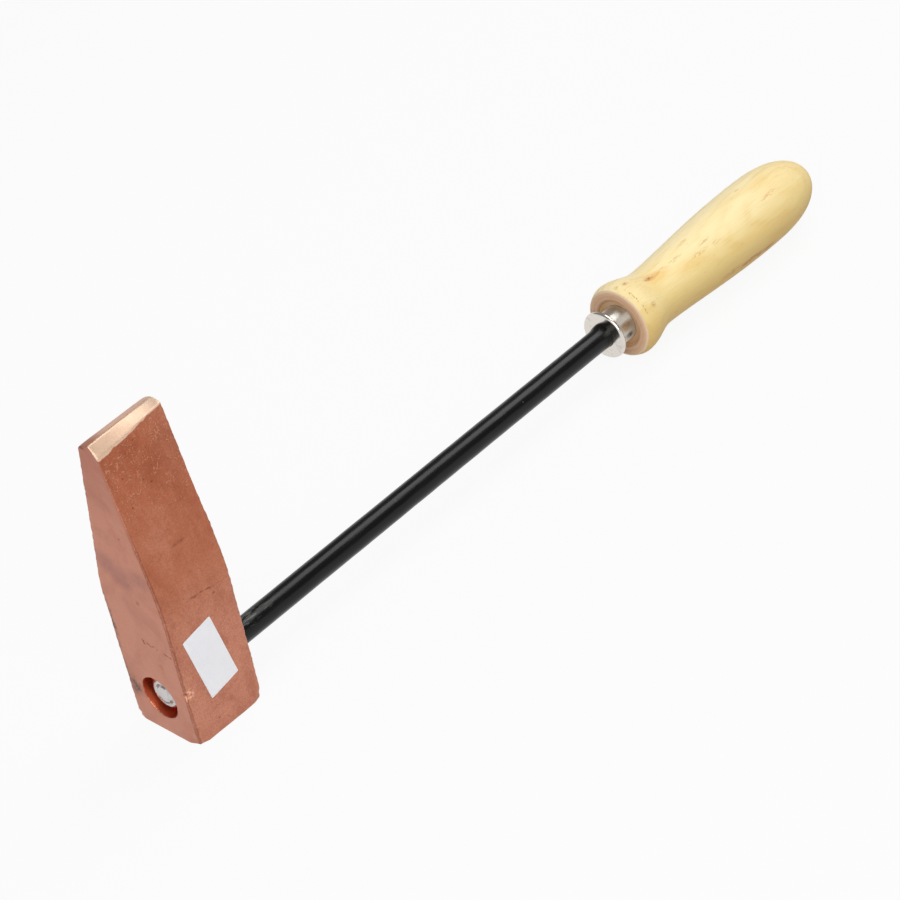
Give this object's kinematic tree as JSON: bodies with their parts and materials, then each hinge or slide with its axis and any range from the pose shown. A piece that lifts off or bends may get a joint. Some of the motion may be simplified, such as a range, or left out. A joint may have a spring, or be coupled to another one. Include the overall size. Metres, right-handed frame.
{
  "type": "soldering copper",
  "caption": "Hatchet-style soldering copper: forged copper head drawn out to a blunt chisel edge, on a black steel rod with a bright flanged ferrule and a turned wooden handle.",
  "frame": {"origin": "under the middle of the tool's box, on the plane that the butt of the head stands on", "axes": "+X along the rod from the head to the handle, +Z from the butt of the head to its working edge"},
  "size_m": [0.3978, 0.0334, 0.1329],
  "materials": {
    "copper": "satin, scratched",
    "black_steel": "satin",
    "bright_steel": "zinc plated",
    "nickel_plate": "polished",
    "pale_wood": "satin",
    "white_paper": "matte"
  },
  "bodies": {
    "root": {"copper_head": "copper", "shank_rod": "black_steel", "lock_nut": "bright_steel", "ferrule": "nickel_plate", "wood_handle": "pale_wood", "paper_label": "white_paper"}
  },
  "joints": []
}
